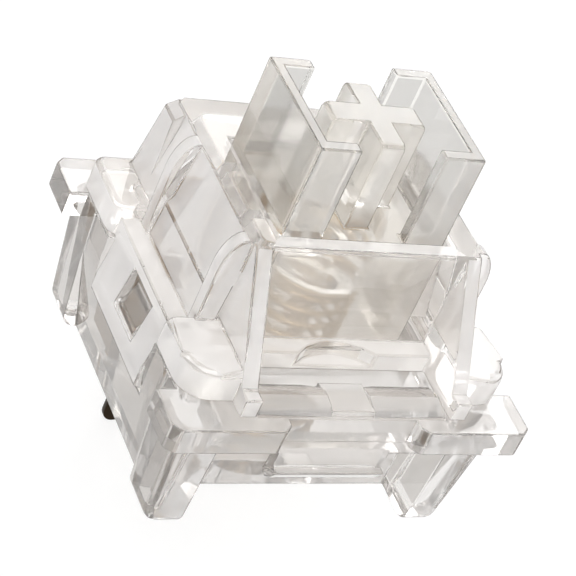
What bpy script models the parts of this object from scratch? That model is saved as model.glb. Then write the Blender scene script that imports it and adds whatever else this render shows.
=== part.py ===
"""A mechanical keyboard switch with a clear housing, at rest (not pressed).

Lengths are in metres. Heights are measured from the plane of the circuit board, which lies
PIN_LENGTH above the tips of the pins, and +Z points up to the keycap. X runs across the switch
and Y from the light recess at the front (-Y) to the contact pins at the back (+Y).
"""

import math

import bmesh
import bpy

MM = 0.001

# Seats on the plate and on the board
PIN_LENGTH = 3.3 * MM
PLATE_HEIGHT = 5.0 * MM
FLANGE_THICKNESS = 1.18 * MM
BODY_HALF = 7.0 * MM
FLANGE_HALF = BODY_HALF + 0.8 * MM
FLANGE_CORNER = 0.35 * MM
FLANGE_SIDE_CUT_HALF = BODY_HALF - 1.45 * MM
FLANGE_NOTCH_HALF = 2.8 * MM
NOTCH_DEPTH = 0.7 * MM
PLATE_THICKNESS = 1.5 * MM

# Clearances
FIT = 0.05 * MM
RUNNING = 0.13 * MM
OVERLAP = 0.3 * MM
BEYOND = 1.0 * MM

# Bottom housing, whose walls follow the size of the body
FOOT_HALF_X = BODY_HALF - 0.5 * MM
FOOT_HALF_Y = BODY_HALF - 0.35 * MM
FOOT_ROUND = 0.5 * MM
FLOOR = 0.9 * MM
CAVITY_HALF_X_LOW = BODY_HALF - 1.8 * MM
CAVITY_HALF_X_HIGH = BODY_HALF - 1.4 * MM
CAVITY_FRONT = BODY_HALF - 3.3 * MM
CAVITY_BACK_LOW = BODY_HALF - 1.6 * MM
CAVITY_BACK_HIGH = BODY_HALF - 1.05 * MM
CAVITY_CORNER = 0.4 * MM
LEG_INSIDE_X = BODY_HALF - 2.0 * MM
LEG_INSIDE_Y = BODY_HALF - 2.5 * MM
SIDE_WALL_FOOT = BODY_HALF - 1.15 * MM
BACK_WALL_FOOT = BODY_HALF - 1.05 * MM
SIDE_PANEL_TOP = 4.6 * MM
LIGHT_RECESS_TOP = 4.2 * MM
LEG_GROOVE_WIDTH = 0.18 * MM
LEG_GROOVE_DEPTH = 0.15 * MM
LEG_GROOVE_X = BODY_HALF - 0.8 * MM
LIGHT_BAR_Y = BODY_HALF - 0.85 * MM
LIGHT_BAR_RADIUS = 1.2 * MM
LIGHT_BAR_RISE = 0.35 * MM
LIGHT_BLOCK_HALF = 0.95 * MM
LIGHT_BLOCK_FRONT = BODY_HALF - 0.1 * MM
LIGHT_BLOCK_BACK = BODY_HALF - 1.7 * MM
LIGHT_BLOCK_RISE = 0.22 * MM
LAMP_RIB_FRONT = LEG_INSIDE_Y + 0.7 * MM
LAMP_RIB_LOW = 1.05 * MM
LAMP_RIB_HIGH = 2.05 * MM
LAMP_RIB_HALF_LOW = 0.85 * MM
LAMP_RIB_HALF_HIGH = 0.6 * MM

# Plate clips on the front and back of the bottom housing
CLIP_HALF = 2.4 * MM
CLIP_REACH = BODY_HALF + 0.35 * MM
CLIP_THICKNESS = 0.55 * MM
CLIP_SLIT = 0.25 * MM
CLIP_DROP = 0.8 * MM

# Centre post and the tube that guides the stem's pole
POST_RADIUS = 2.0 * MM
POST_LENGTH = 3.15 * MM
POST_CHAMFER = 0.6 * MM
TUBE_RADIUS = 1.75 * MM
TUBE_TOP = 3.0 * MM
TUBE_CHAMFER = 0.25 * MM
POLE_RADIUS = 0.95 * MM
POLE_CHAMFER = 0.3 * MM

# Top housing
TOP_HEIGHT = 11.49 * MM
TOP_PLATE = 0.49 * MM
SKIRT_HEIGHT = 0.82 * MM
SKIRT_HALF_X = BODY_HALF - 0.3 * MM
SKIRT_CORNER_X = BODY_HALF - 1.1 * MM
SKIRT_SIDE_HALF = 3.4 * MM
TOWER_FOOT_RISE = 0.2 * MM
TOWER_FOOT_HALF_X = BODY_HALF - 1.25 * MM
TOWER_FOOT_BACK = BODY_HALF - 0.65 * MM
TOWER_TOP_HALF_X = BODY_HALF - 1.9 * MM
TOWER_TOP_FRONT = 3.6 * MM
TOWER_TOP_BACK = BODY_HALF - 1.75 * MM
TOWER_CHAMFER = 0.33 * MM
TOWER_FOOT_CHAMFER = 0.25 * MM
FRONT_FOOT = BODY_HALF + 0.1 * MM
INSIDE_TOP_HALF_X = TOWER_TOP_HALF_X - 0.8 * MM
INSIDE_TOP_BACK = TOWER_TOP_BACK - 0.55 * MM
INSIDE_FRONT = TOWER_TOP_FRONT - 0.6 * MM
INSIDE_FOOT_HALF_X = TOWER_FOOT_HALF_X - 0.4 * MM
INSIDE_FOOT_BACK = TOWER_FOOT_BACK - 0.75 * MM
INSIDE_CORNER = 0.35 * MM
WEB_OUTSIDE = BODY_HALF - 2.07 * MM
WEB_THICKNESS = 0.72 * MM
STEP_HEIGHT = 7.1 * MM
STEP_FRONT = TOWER_TOP_FRONT + 0.85 * MM
STEP_NOTCH_CHORD = 3.4 * MM
STEP_NOTCH_DEPTH = 0.7 * MM
STEP_NOTCH_FLOOR = 0.25 * MM

# Corner ears
EAR_HEIGHT = 1.4 * MM
EAR_HALF_X = BODY_HALF + 0.05 * MM
EAR_HALF_Y = BODY_HALF - 0.7 * MM
EAR_START_X = BODY_HALF - 2.5 * MM
FRONT_EAR_START = 3.2 * MM
FRONT_EAR_RADIUS = 1.25 * MM
FRONT_EAR_FILLET = 0.4 * MM
BACK_EAR_START = 3.05 * MM
BACK_EAR_RADIUS = 0.5 * MM
BACK_EAR_FILLET = 0.25 * MM

# Corner ribs that stand proud of the top housing's sides
RIB_X = BODY_HALF - 1.1 * MM
RIB_ARC_RISE = 1.54 * MM
RIB_ARC_STEPS = 8
RIB_INSIDE = 0.75 * MM
FRONT_RIB = (-3.35 * MM, -2.7 * MM)
BACK_RIB = (2.2 * MM, 2.9 * MM)

# Pillars at the back corners, behind the ribs
PILLAR_X = BODY_HALF - 1.5 * MM
PILLAR_FRONT = 4.15 * MM
PILLAR_CHAMFER = 0.4 * MM
PILLAR_SETBACK = 0.1 * MM

# Panels between the corner ribs, which stand out below a crease
PANEL_FOOT_X = BODY_HALF - 1.2 * MM
PANEL_CREASE_X = BODY_HALF - 1.35 * MM
PANEL_CREASE_HEIGHT = 8.65 * MM
PANEL_TOP_X = BODY_HALF - 1.7 * MM
PANEL_TOP_HEIGHT = 9.25 * MM

# Loops on the sides that snap over the bottom housing
LOOP_CENTRE_Y = -0.1 * MM
LOOP_HALF = 2.85 * MM
LOOP_WINDOW_Y = -0.4 * MM
LOOP_WINDOW_HALF = 1.05 * MM
LOOP_THICKNESS = 0.55 * MM
LOOP_BOTTOM = 3.65 * MM
LOOP_BAR = 1.1 * MM
LOOP_WINDOW_RISE = 0.32 * MM
LOOP_SLOPE_END = 4.6 * MM
CATCH_HEIGHT = 1.2 * MM
CATCH_REACH = 0.5 * MM

# Stem
TRAVEL = 4.0 * MM
STEM_HALF_X = 3.58 * MM
STEM_HALF_Y = 2.77 * MM
STEM_TOP = 15.52 * MM
SHROUD_WALL_X = 0.49 * MM
SHROUD_WALL_Y = 0.545 * MM
SHROUD_GAP_HALF = 1.8 * MM
DECK_HEIGHT = 11.3 * MM
DECK_THICKNESS = 1.0 * MM
CROSS_TOP = 15.3 * MM
CROSS_X_ARM = 2.05 * MM
CROSS_Y_ARM = 2.0 * MM
CROSS_X_THICKNESS = 1.17 * MM
CROSS_Y_THICKNESS = 1.05 * MM
CROSS_CHAMFER = 0.25 * MM
SLIDER_BOTTOM = 6.0 * MM
SLIDER_WALL = 0.57 * MM
RAIL_REACH = 4.15 * MM
RAIL_HALF = 1.0 * MM
GUIDE_WIDTH = 0.5 * MM
GUIDE_BOTTOM = 6.8 * MM
POLE_TIP = 2.2 * MM
COLLAR_RADIUS = 2.3 * MM
SPRING_SEAT = 8.5 * MM
SEAT_BOSS_LENGTH = 0.6 * MM
STEM_LEG_INNER = 0.55 * MM
STEM_LEG_WIDTH = 0.75 * MM
STEM_LEG_REACH = 3.5 * MM
STEM_LEG_TOP = 9.4 * MM
STEM_LEG_TOE = 0.2 * MM
STEM_LEG_RAMP = 1.0 * MM
STEM_LEG_SHOULDER = 0.8 * MM

# Return spring
WIRE = 0.25 * MM
SPRING_RADIUS = 2.0 * MM
SPRING_TURNS = 12
END_TURNS = 1.25
STEPS_PER_TURN = 16

# Contacts
MOVING_PIN = (-3.81 * MM, 2.54 * MM)
FIXED_PIN = (2.54 * MM, 5.08 * MM)
PIN_WIDTH = 0.95 * MM
PIN_THICKNESS = 0.3 * MM
PIN_SLOT_CLEARANCE = 0.13 * MM
PIN_ROOT = 0.5 * MM
CONTACT_BOTTOM = 1.1 * MM
LEAF_THICKNESS = 0.2 * MM
LEAF_Y = 4.1 * MM
LEAF_BOTTOM = 3.0 * MM
LEAF_TOP = 8.5 * MM
LEAF_RIGHT = 1.6 * MM
LEAF_SIDE_FRONT = 2.2 * MM
LEAF_SIDE_TOP = 6.5 * MM
LEAF_SLOT_BOTTOM = 4.2 * MM
LEAF_SLOT_TOP = 7.7 * MM
NOSE_HEIGHT = 6.5 * MM
NOSE_HALF = 0.9 * MM
FIXED_LEFT = 0.7 * MM
FIXED_RIGHT = 4.4 * MM
FIXED_TOP = 7.4 * MM
FIXED_THICKNESS = 0.25 * MM
FIXED_CORNER = 0.6 * MM
POINT_X = 1.15 * MM
POINT_Z = 6.9 * MM
POINT_RADIUS = 0.32 * MM
POINT_LENGTH = 0.24 * MM
WELD_GAP = 0.02 * MM

FLANGE_TOP = PLATE_HEIGHT + FLANGE_THICKNESS
TOP_BASE = FLANGE_TOP + FIT
SKIRT_TOP = TOP_BASE + SKIRT_HEIGHT
EAR_TOP = TOP_BASE + EAR_HEIGHT
WEB_INSIDE = WEB_OUTSIDE - WEB_THICKNESS
LIGHT_BAR_END = WEB_INSIDE - RUNNING
RIB_SHOULDER_HEIGHT = TOP_HEIGHT - RIB_ARC_RISE
LOOP_INSIDE = BODY_HALF - LOOP_THICKNESS


def clear_scene():
    for obj in list(bpy.data.objects):
        bpy.data.objects.remove(obj)


def material(name, colour, roughness, metallic=0.0, alpha=1.0):
    """A Principled finish. An alpha under 1 stands for clear plastic."""
    made = bpy.data.materials.new(name)
    made.use_nodes = True
    shader = made.node_tree.nodes["Principled BSDF"]
    shader.inputs["Base Color"].default_value = (*colour, 1.0)
    shader.inputs["Roughness"].default_value = roughness
    shader.inputs["Metallic"].default_value = metallic
    shader.inputs["Alpha"].default_value = alpha
    made.diffuse_color = (*colour, alpha)
    return made


def add_object(name, mesh_data):
    obj = bpy.data.objects.new(name, mesh_data)
    bpy.context.scene.collection.objects.link(obj)
    return obj


def object_from(name, bm):
    """Turns a closed bmesh into an object whose faces point out."""
    bmesh.ops.recalc_face_normals(bm, faces=bm.faces)
    mesh = bpy.data.meshes.new(name)
    bm.to_mesh(mesh)
    bm.free()
    return add_object(name, mesh)


def stack_mesh(levels):
    """A solid through a stack of (outline, height) levels with as many points each."""
    bm = bmesh.new()
    rings = [[bm.verts.new((x, y, z)) for x, y in outline] for outline, z in levels]
    bm.faces.new(rings[0])
    bm.faces.new(rings[-1])
    count = len(rings[0])
    for lower, upper in zip(rings, rings[1:]):
        for i in range(count):
            j = (i + 1) % count
            bm.faces.new((lower[i], lower[j], upper[j], upper[i]))
    return bm


def loft_mesh(low, low_z, high, high_z):
    return stack_mesh([(low, low_z), (high, high_z)])


def loft(name, low, low_z, high, high_z):
    return object_from(name, loft_mesh(low, low_z, high, high_z))


def prism(name, outline, low, high):
    return loft(name, outline, low, outline, high)


def bar_along_y(name, outline, start, end):
    """Extrudes an outline of (x, z) points along Y."""
    bm = bmesh.new()
    rings = []
    for y in (start, end):
        rings.append([bm.verts.new((x, y, z)) for x, z in outline])
        bm.faces.new(rings[-1])
    count = len(outline)
    for i in range(count):
        j = (i + 1) % count
        bm.faces.new((rings[0][i], rings[0][j], rings[1][j], rings[1][i]))
    return object_from(name, bm)


def bar_along_x(name, outline, start, end):
    """Extrudes an outline of (y, z) points along X."""
    bm = bmesh.new()
    rings = []
    for x in (start, end):
        rings.append([bm.verts.new((x, y, z)) for y, z in outline])
        bm.faces.new(rings[-1])
    count = len(outline)
    for i in range(count):
        j = (i + 1) % count
        bm.faces.new((rings[0][i], rings[0][j], rings[1][j], rings[1][i]))
    return object_from(name, bm)


def rectangle(x_low, x_high, y_low, y_high):
    return [(x_low, y_low), (x_high, y_low), (x_high, y_high), (x_low, y_high)]


def block(name, x_low, x_high, y_low, y_high, z_low, z_high):
    return prism(name, rectangle(x_low, x_high, y_low, y_high), z_low, z_high)


def arc(centre_x, centre_y, radius, start_deg, end_deg, steps):
    """Points along an arc, both ends included."""
    points = []
    for i in range(steps + 1):
        angle = math.radians(start_deg + (end_deg - start_deg) * i / steps)
        points.append((centre_x + radius * math.cos(angle), centre_y + radius * math.sin(angle)))
    return points


def turned(name, profile, segments, centre=(0.0, 0.0)):
    """Spins a profile of (radius, z) points, which starts and ends on the axis, about Z."""
    bm = bmesh.new()
    points = [bm.verts.new((radius, 0.0, z)) for radius, z in profile]
    edges = [bm.edges.new(pair) for pair in zip(points, points[1:])]
    bmesh.ops.spin(
        bm,
        geom=points + edges,
        cent=(0, 0, 0),
        axis=(0, 0, 1),
        angle=2 * math.pi,
        steps=segments,
    )
    bmesh.ops.remove_doubles(bm, verts=bm.verts, dist=0.001 * MM)
    bmesh.ops.translate(bm, verts=bm.verts, vec=(centre[0], centre[1], 0))
    return object_from(name, bm)


def mirrored_outline(corner):
    """A whole outline from its corner at +X +Y, listed from the X side round to the Y side."""
    other = [(-x, y) for x, y in reversed(corner)]
    below = [(-x, -y) for x, y in corner]
    last = [(x, -y) for x, y in reversed(corner)]
    return corner + other + below + last


def both_sides(half):
    """A whole outline from its +X half, listed from front to back."""
    return half + [(-x, y) for x, y in reversed(half)]


def combine(body, tool, operation):
    tool.hide_render = True
    tool.display_type = "WIRE"
    tool.parent = body
    step = body.modifiers.new(tool.name, "BOOLEAN")
    step.operation = operation
    step.object = tool
    step.solver = "EXACT"


def cut(body, tool):
    combine(body, tool, "DIFFERENCE")


def fuse(body, tool):
    combine(body, tool, "UNION")


def round_edges(bm, edges, width, segments):
    bmesh.ops.bevel(
        bm,
        geom=edges,
        offset=width,
        segments=segments,
        profile=0.5,
        affect="EDGES",
        clamp_overlap=True,
    )


def edges_at(bm, height):
    """The edges that lie wholly at one height."""
    near = 0.001 * MM
    return [e for e in bm.edges if all(abs(v.co.z - height) < near for v in e.verts)]


def upright_edges(bm):
    """The edges that climb from the lowest to the highest ring of a loft."""
    low = min(v.co.z for v in bm.verts)
    high = max(v.co.z for v in bm.verts)
    span = 0.5 * (high - low)
    return [e for e in bm.edges if abs(e.verts[0].co.z - e.verts[1].co.z) > span]


# Bottom housing


def housing_body():
    """The tapered body with rounded feet and corners."""
    low = rectangle(-FOOT_HALF_X, FOOT_HALF_X, -FOOT_HALF_Y, FOOT_HALF_Y)
    high = rectangle(-BODY_HALF, BODY_HALF, -BODY_HALF, BODY_HALF)
    bm = loft_mesh(low, 0.0, high, PLATE_HEIGHT + OVERLAP)
    round_edges(bm, edges_at(bm, 0.0) + upright_edges(bm), FOOT_ROUND, 3)
    return object_from("bottom_housing", bm)


def flange():
    edge = FLANGE_HALF - FLANGE_CORNER
    notch = FLANGE_NOTCH_HALF
    corner = [
        (BODY_HALF, FLANGE_SIDE_CUT_HALF),
        (FLANGE_HALF, FLANGE_SIDE_CUT_HALF),
        (FLANGE_HALF, edge),
        (edge, FLANGE_HALF),
        (notch + FLANGE_CORNER, FLANGE_HALF),
        (notch, edge),
        (notch, FLANGE_HALF - NOTCH_DEPTH),
    ]
    return prism("flange", mirrored_outline(corner), PLATE_HEIGHT, FLANGE_TOP)


def housing_cavity():
    low = rectangle(-CAVITY_HALF_X_LOW, CAVITY_HALF_X_LOW, -CAVITY_FRONT, CAVITY_BACK_LOW)
    high = rectangle(-CAVITY_HALF_X_HIGH, CAVITY_HALF_X_HIGH, -CAVITY_FRONT, CAVITY_BACK_HIGH)
    bm = loft_mesh(low, FLOOR, high, FLANGE_TOP + BEYOND)
    round_edges(bm, upright_edges(bm), CAVITY_CORNER, 2)
    return object_from("housing_cavity", bm)


def light_recess():
    """The space under the front of the switch for a lamp on the board."""
    return block(
        "light_recess",
        -LEG_INSIDE_X,
        LEG_INSIDE_X,
        -FLANGE_HALF - BEYOND,
        -LEG_INSIDE_Y,
        -BEYOND,
        LIGHT_RECESS_TOP,
    )


def side_panel(side):
    """The shallow wedge cut from the wall between the legs on one side."""
    outside = BODY_HALF + BEYOND
    slope = (BODY_HALF - SIDE_WALL_FOOT) / SIDE_PANEL_TOP
    outline = [
        (side * (SIDE_WALL_FOOT - slope * BEYOND), -BEYOND),
        (side * outside, -BEYOND),
        (side * outside, SIDE_PANEL_TOP),
        (side * BODY_HALF, SIDE_PANEL_TOP),
    ]
    return bar_along_y("side_panel", outline, -LEG_INSIDE_Y, LEG_INSIDE_Y)


def back_panel():
    outside = BODY_HALF + BEYOND
    slope = (BODY_HALF - BACK_WALL_FOOT) / SIDE_PANEL_TOP
    outline = [
        (BACK_WALL_FOOT - slope * BEYOND, -BEYOND),
        (outside, -BEYOND),
        (outside, SIDE_PANEL_TOP),
        (BODY_HALF, SIDE_PANEL_TOP),
    ]
    return bar_along_x("back_panel", outline, -LEG_INSIDE_X, LEG_INSIDE_X)


def loop_recess(side):
    """The pocket in the side wall and flange that takes the top housing's loop."""
    inside = side * (LOOP_INSIDE - FIT)
    outside = side * (FLANGE_HALF + BEYOND)
    return block(
        "loop_recess",
        min(inside, outside),
        max(inside, outside),
        LOOP_CENTRE_Y - LOOP_HALF - RUNNING,
        LOOP_CENTRE_Y + LOOP_HALF + RUNNING,
        LOOP_BOTTOM - RUNNING,
        FLANGE_TOP + BEYOND,
    )


def loop_catch(side):
    """The wedge that holds the loop's lower bar."""
    root = LOOP_INSIDE - FIT - OVERLAP
    tip = LOOP_INSIDE - FIT + CATCH_REACH
    low = LOOP_BOTTOM + LOOP_BAR + FIT
    outline = [
        (side * root, low),
        (side * tip, low),
        (side * tip, low + 0.2 * CATCH_HEIGHT),
        (side * (tip - CATCH_REACH), low + CATCH_HEIGHT),
        (side * root, low + CATCH_HEIGHT),
    ]
    half = LOOP_WINDOW_HALF - RUNNING
    return bar_along_y("loop_catch", outline, LOOP_WINDOW_Y - half, LOOP_WINDOW_Y + half)


def plate_clip(side):
    """A tongue with a catch, whose flat top holds the plate from below."""
    catch = PLATE_HEIGHT - PLATE_THICKNESS
    face = BODY_HALF - FIT
    inside = face - CLIP_THICKNESS
    outline = [
        (side * inside, PLATE_HEIGHT + OVERLAP),
        (side * inside, catch - CLIP_DROP + FIT),
        (side * (inside + 0.5 * CLIP_THICKNESS), catch - CLIP_DROP),
        (side * face, catch - 0.7 * CLIP_DROP),
        (side * CLIP_REACH, catch),
        (side * face, catch + FIT),
        (side * face, PLATE_HEIGHT + OVERLAP),
    ]
    return bar_along_x("plate_clip", outline, -CLIP_HALF, CLIP_HALF)


def clip_slit(side):
    """A slit beside the back clip, which lets it bend."""
    start = side * (CLIP_HALF + FIT)
    end = side * (CLIP_HALF + FIT + CLIP_SLIT)
    return block(
        "clip_slit",
        min(start, end),
        max(start, end),
        CAVITY_BACK_LOW,
        FLANGE_HALF,
        PLATE_HEIGHT - PLATE_THICKNESS - CLIP_DROP,
        PLATE_HEIGHT - FIT,
    )


def leg_groove(side):
    """A narrow upright groove in the front face of a front leg."""
    low, high = FLOOR, SIDE_PANEL_TOP
    slope = (BODY_HALF - FOOT_HALF_Y) / (PLATE_HEIGHT + OVERLAP)
    outline = [
        (-(FOOT_HALF_Y + slope * low - LEG_GROOVE_DEPTH), low),
        (-(BODY_HALF + BEYOND), low),
        (-(BODY_HALF + BEYOND), high),
        (-(FOOT_HALF_Y + slope * high - LEG_GROOVE_DEPTH), high),
    ]
    start = side * LEG_GROOVE_X
    end = side * (LEG_GROOVE_X + LEG_GROOVE_WIDTH)
    return bar_along_x("leg_groove", outline, min(start, end), max(start, end))


def light_bar(side):
    """One half of the low round bar on the flange that spreads the lamp's light."""
    centre_z = FLANGE_TOP + LIGHT_BAR_RISE - LIGHT_BAR_RADIUS
    spread = math.degrees(math.acos(1 - (LIGHT_BAR_RISE + FIT) / LIGHT_BAR_RADIUS))
    outline = arc(-LIGHT_BAR_Y, centre_z, LIGHT_BAR_RADIUS, 90 - spread, 90 + spread, 8)
    inner = side * (LIGHT_BLOCK_HALF - FIT)
    outer = side * LIGHT_BAR_END
    return bar_along_x("light_bar", outline, min(inner, outer), max(inner, outer))


def light_block():
    """The block between the two halves of the round bar."""
    return block(
        "light_block",
        -LIGHT_BLOCK_HALF,
        LIGHT_BLOCK_HALF,
        -LIGHT_BLOCK_FRONT,
        -LIGHT_BLOCK_BACK,
        FLANGE_TOP - OVERLAP,
        FLANGE_TOP + LIGHT_BLOCK_RISE,
    )


def lamp_rib():
    """The short rib on the wall of the light recess that centres the lamp."""
    outline = [
        (-LAMP_RIB_HALF_LOW, LAMP_RIB_LOW),
        (LAMP_RIB_HALF_LOW, LAMP_RIB_LOW),
        (LAMP_RIB_HALF_HIGH, LAMP_RIB_HIGH),
        (-LAMP_RIB_HALF_HIGH, LAMP_RIB_HIGH),
    ]
    return bar_along_y("lamp_rib", outline, -LAMP_RIB_FRONT, OVERLAP - LEG_INSIDE_Y)


def centre_post():
    """The post below the floor and, in one with it, the tube that guides the stem."""
    tip = POST_RADIUS - POST_CHAMFER
    profile = [
        (0.0, TUBE_TOP),
        (TUBE_RADIUS - TUBE_CHAMFER, TUBE_TOP),
        (TUBE_RADIUS, TUBE_TOP - TUBE_CHAMFER),
        (TUBE_RADIUS, FLOOR - OVERLAP),
        (POST_RADIUS, FLOOR - OVERLAP),
        (POST_RADIUS, POST_CHAMFER - POST_LENGTH),
        (tip, -POST_LENGTH),
        (0.0, -POST_LENGTH),
    ]
    return turned("centre_post", profile, 32)


def pole_bore():
    radius = POLE_RADIUS + RUNNING
    bottom = POLE_TIP - TRAVEL - RUNNING
    profile = [(0.0, TUBE_TOP + BEYOND), (radius, TUBE_TOP + BEYOND), (radius, bottom), (0.0, bottom)]
    return turned("pole_bore", profile, 24)


def pin_slot(pin):
    half_x = 0.5 * PIN_WIDTH + PIN_SLOT_CLEARANCE
    half_y = 0.5 * PIN_THICKNESS + PIN_SLOT_CLEARANCE
    x, y = pin
    return block(
        "pin_slot", x - half_x, x + half_x, y - half_y, y + half_y, -BEYOND, FLOOR + OVERLAP
    )


def make_bottom_housing(clear):
    body = housing_body()
    fuse(body, flange())
    cut(body, housing_cavity())
    cut(body, light_recess())
    cut(body, back_panel())
    for side in (-1, 1):
        cut(body, side_panel(side))
        cut(body, loop_recess(side))
        fuse(body, loop_catch(side))
        fuse(body, plate_clip(side))
        cut(body, clip_slit(side))
        cut(body, leg_groove(side))
        fuse(body, light_bar(side))
    fuse(body, light_block())
    fuse(body, lamp_rib())
    fuse(body, centre_post())
    cut(body, pole_bore())
    cut(body, pin_slot(MOVING_PIN))
    cut(body, pin_slot(FIXED_PIN))
    body.data.materials.append(clear)
    return body


# Top housing


def tower_front(z):
    """How far the sloping front edge of the webs reaches forward at a height."""
    return TOWER_TOP_FRONT + (FRONT_FOOT - TOWER_TOP_FRONT) * (TOP_HEIGHT - z) / (TOP_HEIGHT - FLANGE_TOP)


def tower_back(z):
    """How far the sloping back wall reaches at a height."""
    foot = TOP_BASE + TOWER_FOOT_RISE
    return TOWER_TOP_BACK + (TOWER_FOOT_BACK - TOWER_TOP_BACK) * (TOP_HEIGHT - z) / (TOP_HEIGHT - foot)


def tower():
    """The tower, which is narrower in front of the front ribs."""
    foot = TOP_BASE + TOWER_FOOT_RISE
    shoulder = 0.5 * sum(FRONT_RIB)
    low_half = [
        (WEB_OUTSIDE, -tower_front(foot)),
        (WEB_OUTSIDE, shoulder),
        (TOWER_FOOT_HALF_X, shoulder),
        (TOWER_FOOT_HALF_X, TOWER_FOOT_BACK - TOWER_FOOT_CHAMFER),
        (TOWER_FOOT_HALF_X - TOWER_FOOT_CHAMFER, TOWER_FOOT_BACK),
    ]
    high_half = [
        (WEB_OUTSIDE, -TOWER_TOP_FRONT),
        (WEB_OUTSIDE, shoulder),
        (TOWER_TOP_HALF_X, shoulder),
        (TOWER_TOP_HALF_X, TOWER_TOP_BACK - TOWER_CHAMFER),
        (TOWER_TOP_HALF_X - TOWER_CHAMFER, TOWER_TOP_BACK),
    ]
    return loft("top_housing", both_sides(low_half), foot, both_sides(high_half), TOP_HEIGHT)


def skirt():
    half = [
        (WEB_OUTSIDE, -FRONT_FOOT),
        (WEB_OUTSIDE, -STEP_FRONT),
        (SKIRT_HALF_X, -SKIRT_SIDE_HALF),
        (SKIRT_HALF_X, SKIRT_SIDE_HALF),
        (SKIRT_CORNER_X, EAR_HALF_Y - FIT),
    ]
    return prism("skirt", both_sides(half), TOP_BASE, SKIRT_TOP)


def ear(corner, side_x, side_y, fillet):
    """An ear from its outline at +X +Y. Its top edges are filleted where they are free."""
    outline = [(side_x * x, side_y * y) for x, y in corner]
    bm = loft_mesh(outline, TOP_BASE, outline, EAR_TOP)
    near = 0.01 * MM
    free = [
        e
        for e in edges_at(bm, EAR_TOP)
        if not all(abs(abs(v.co.x) - EAR_START_X) < near for v in e.verts)
        and not all(abs(abs(v.co.y) - FRONT_EAR_START) < near for v in e.verts)
    ]
    round_edges(bm, free, fillet, 3)
    return object_from("ear", bm)


def front_ear(side):
    """A front ear, broadly rounded at its outer corner."""
    radius = FRONT_EAR_RADIUS
    corner = [(EAR_START_X, FRONT_EAR_START), (EAR_HALF_X, FRONT_EAR_START)]
    corner += arc(EAR_HALF_X - radius, EAR_HALF_Y - radius, radius, 0, 90, 8)
    corner.append((EAR_START_X, EAR_HALF_Y))
    return ear(corner, side, -1, FRONT_EAR_FILLET)


def back_ear(side):
    """A back ear, tightly rounded at both outer corners."""
    radius = BACK_EAR_RADIUS
    corner = [(EAR_START_X, BACK_EAR_START)]
    corner += arc(EAR_HALF_X - radius, BACK_EAR_START + radius, radius, -90, 0, 4)
    corner += arc(EAR_HALF_X - radius, EAR_HALF_Y - radius, radius, 0, 90, 4)
    corner.append((EAR_START_X, EAR_HALF_Y))
    return ear(corner, side, 1, BACK_EAR_FILLET)


def corner_rib(side, span):
    """A rib beside the side panel that runs from the skirt up into the top edge."""
    low = SKIRT_TOP - OVERLAP
    reach = RIB_X - TOWER_TOP_HALF_X
    outline = [(RIB_X - RIB_INSIDE, low), (RIB_X, low)]
    for i in range(RIB_ARC_STEPS + 1):
        angle = 0.5 * math.pi * i / RIB_ARC_STEPS
        x = TOWER_TOP_HALF_X + reach * math.cos(angle)
        outline.append((x, RIB_SHOULDER_HEIGHT + RIB_ARC_RISE * math.sin(angle)))
    outline.append((TOWER_TOP_HALF_X - 0.4 * RIB_INSIDE, TOP_HEIGHT))
    outline = [(side * x, z) for x, z in outline]
    return bar_along_y("corner_rib", outline, *span)


def back_pillar(side):
    """The pillar that widens the tower at a back corner."""
    inside = TOWER_TOP_HALF_X - OVERLAP
    levels = []
    for z, outside in (
        (SKIRT_TOP - OVERLAP, PILLAR_X),
        (TOP_HEIGHT - PILLAR_CHAMFER, PILLAR_X),
        (TOP_HEIGHT - FIT, TOWER_TOP_HALF_X - FIT),
    ):
        back = tower_back(z) - PILLAR_SETBACK
        outline = [(inside, PILLAR_FRONT), (outside, PILLAR_FRONT), (outside, back), (inside, back)]
        levels.append(([(side * x, y) for x, y in outline], z))
    return object_from("back_pillar", stack_mesh(levels))


def side_panel_bulge(side):
    """The lower part of the panel between two corner ribs, steeper than the wall behind it."""
    inside = PANEL_TOP_X - OVERLAP
    outline = [
        (side * inside, SKIRT_TOP - OVERLAP),
        (side * PANEL_FOOT_X, SKIRT_TOP - OVERLAP),
        (side * PANEL_CREASE_X, PANEL_CREASE_HEIGHT),
        (side * PANEL_TOP_X, PANEL_TOP_HEIGHT),
        (side * inside, PANEL_TOP_HEIGHT),
    ]
    return bar_along_y("side_panel_bulge", outline, FRONT_RIB[1] - FIT, BACK_RIB[0] + FIT)


def snap_loop(side):
    """The U-shaped loop that snaps over the catch on the bottom housing."""
    outline = [
        (side * LOOP_INSIDE, LOOP_BOTTOM),
        (side * (BODY_HALF - 0.2 * LOOP_THICKNESS), LOOP_BOTTOM),
        (side * BODY_HALF, LOOP_BOTTOM + 0.2 * LOOP_THICKNESS),
        (side * BODY_HALF, LOOP_SLOPE_END),
        (side * (SKIRT_HALF_X - FIT), SKIRT_TOP - 2 * FIT),
        (side * (SKIRT_HALF_X - OVERLAP), SKIRT_TOP - 2 * FIT),
        (side * (SKIRT_HALF_X - OVERLAP), TOP_BASE),
        (side * LOOP_INSIDE, TOP_BASE),
    ]
    start = LOOP_CENTRE_Y - LOOP_HALF
    return bar_along_y("snap_loop", outline, start, start + 2 * LOOP_HALF)


def loop_window(side):
    inside = side * (LOOP_INSIDE - OVERLAP)
    outside = side * (BODY_HALF + BEYOND)
    return block(
        "loop_window",
        min(inside, outside),
        max(inside, outside),
        LOOP_WINDOW_Y - LOOP_WINDOW_HALF,
        LOOP_WINDOW_Y + LOOP_WINDOW_HALF,
        LOOP_BOTTOM + LOOP_BAR,
        TOP_BASE + LOOP_WINDOW_RISE,
    )


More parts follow.
